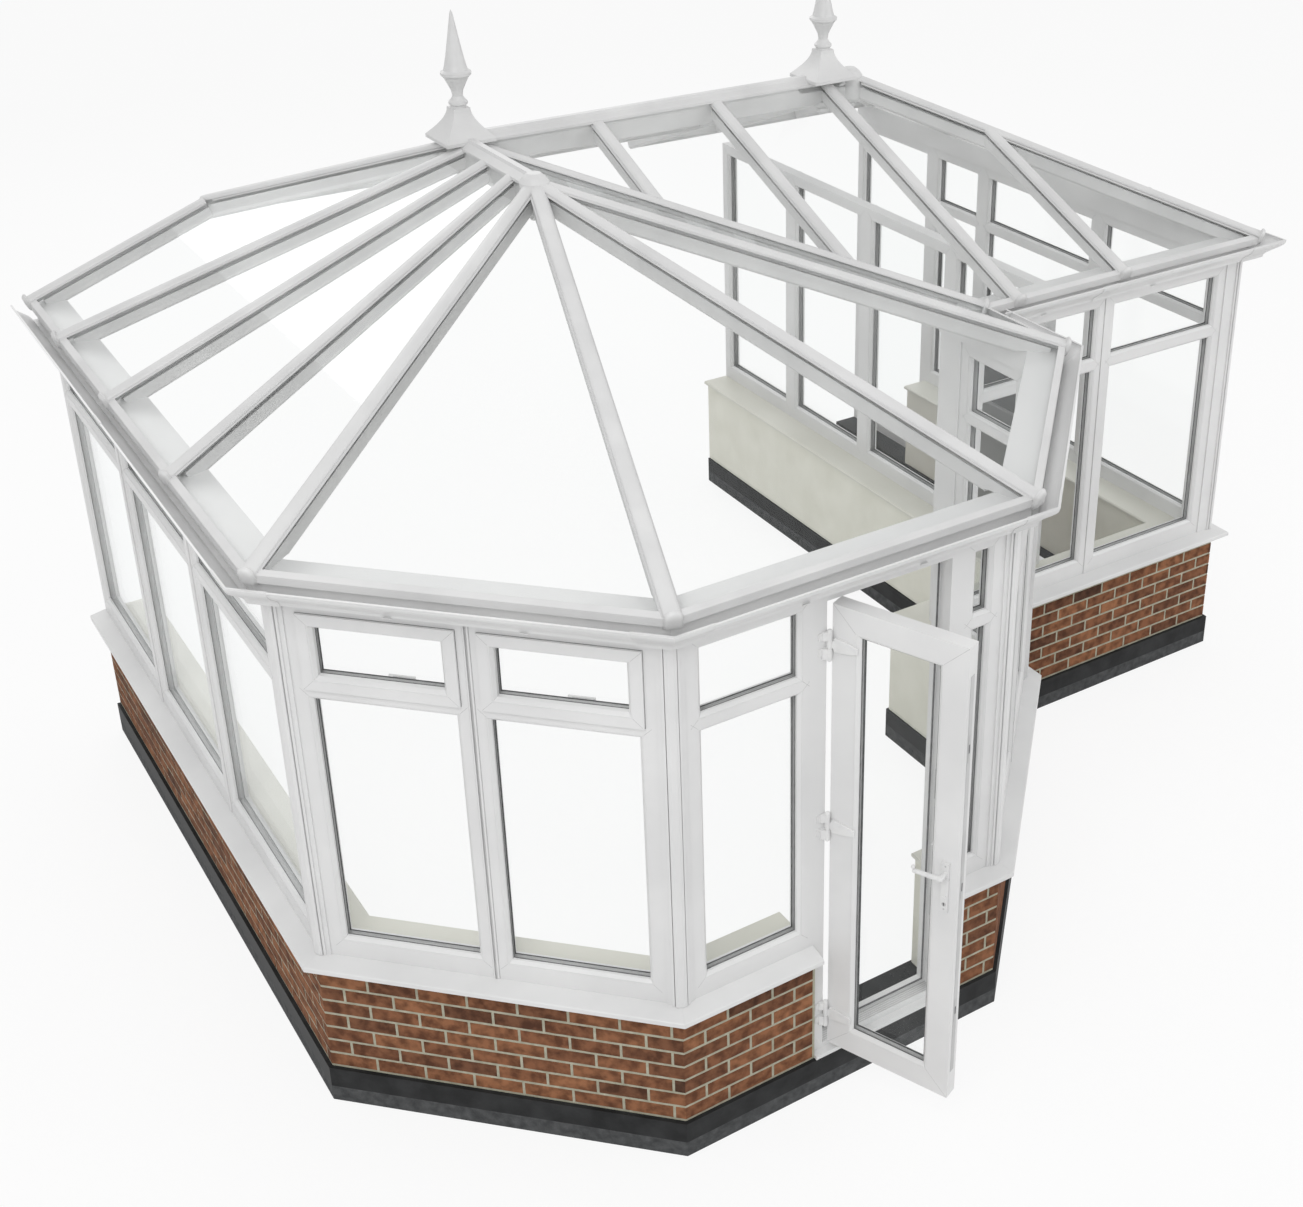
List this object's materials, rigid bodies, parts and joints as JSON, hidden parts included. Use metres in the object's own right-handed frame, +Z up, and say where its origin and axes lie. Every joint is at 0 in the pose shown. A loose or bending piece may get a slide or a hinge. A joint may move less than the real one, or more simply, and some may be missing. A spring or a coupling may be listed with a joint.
{
  "type": "conservatory",
  "caption": "Conservatory with a three-sided bay and a side wing: dwarf brick walls, white glazed frames, a hinged door and a glazed hipped roof with finials.",
  "frame": {"origin": "middle of the bounding box in plan, at the level of the ground under the walls, with the door standing as in the picture", "axes": "+X to the right along the front side with the door, +Y from the front towards the house, +Z up"},
  "size_m": [5.6084, 5.3362, 3.704],
  "materials": {
    "concrete": null,
    "plinth_render": null,
    "brickwork": null,
    "plaster": null,
    "white_upvc": "white hollow plastic sections, satin gloss",
    "white_metal": "white powder coat, satin",
    "clear_glass": "clear sealed panes",
    "roof_glass": "clear sealed roof panes"
  },
  "bodies": {
    "building": {"footing": "concrete", "plinth": "plinth_render", "brick_bay": "brickwork", "brick_wing": "brickwork", "brick_screen": "brickwork", "lining_bay": "plaster", "lining_wing": "plaster", "lining_screen": "plaster", "sill_bay": "white_upvc", "sill_wing": "white_upvc", "sill_screen": "white_upvc", "board_bay": "white_upvc", "board_wing": "white_upvc", "board_screen": "white_upvc", "corner_posts": "white_upvc", "window_left": "white_upvc", "window_left_corner": "white_upvc", "window_front": "white_upvc", "window_front_narrow": "white_upvc", "window_right_corner": "white_upvc", "window_return": "white_upvc", "window_wing_front": "white_upvc", "window_wing_end": "white_upvc", "side_light": "white_upvc", "screen_frame": "white_upvc", "sashes": "white_upvc", "glass_bay": "clear_glass", "glass_wing": "clear_glass", "glass_screen": "clear_glass", "door_frame": "white_upvc", "frame_hinges": "white_metal", "eaves_beam": "white_upvc", "gutter": "white_upvc", "ridge": "white_upvc", "hips": "white_upvc", "valley": "white_upvc", "rafters": "white_upvc", "wall_bars": "white_upvc", "roof_glass_bay": "roof_glass", "roof_glass_wing": "roof_glass", "finials": "white_upvc"},
    "door": {"door_leaf": "white_upvc", "leaf_hinges": "white_metal", "door_glass": "clear_glass", "door_handles": "white_metal"}
  },
  "joints": [
    {"name": "door_hinge", "type": "hinge", "parent": "building", "child": "door", "pos_m": [-1.0075, -2.17417, 1.222], "axis": [0, 0, -1], "range_deg": [-67, 23]}
  ]
}
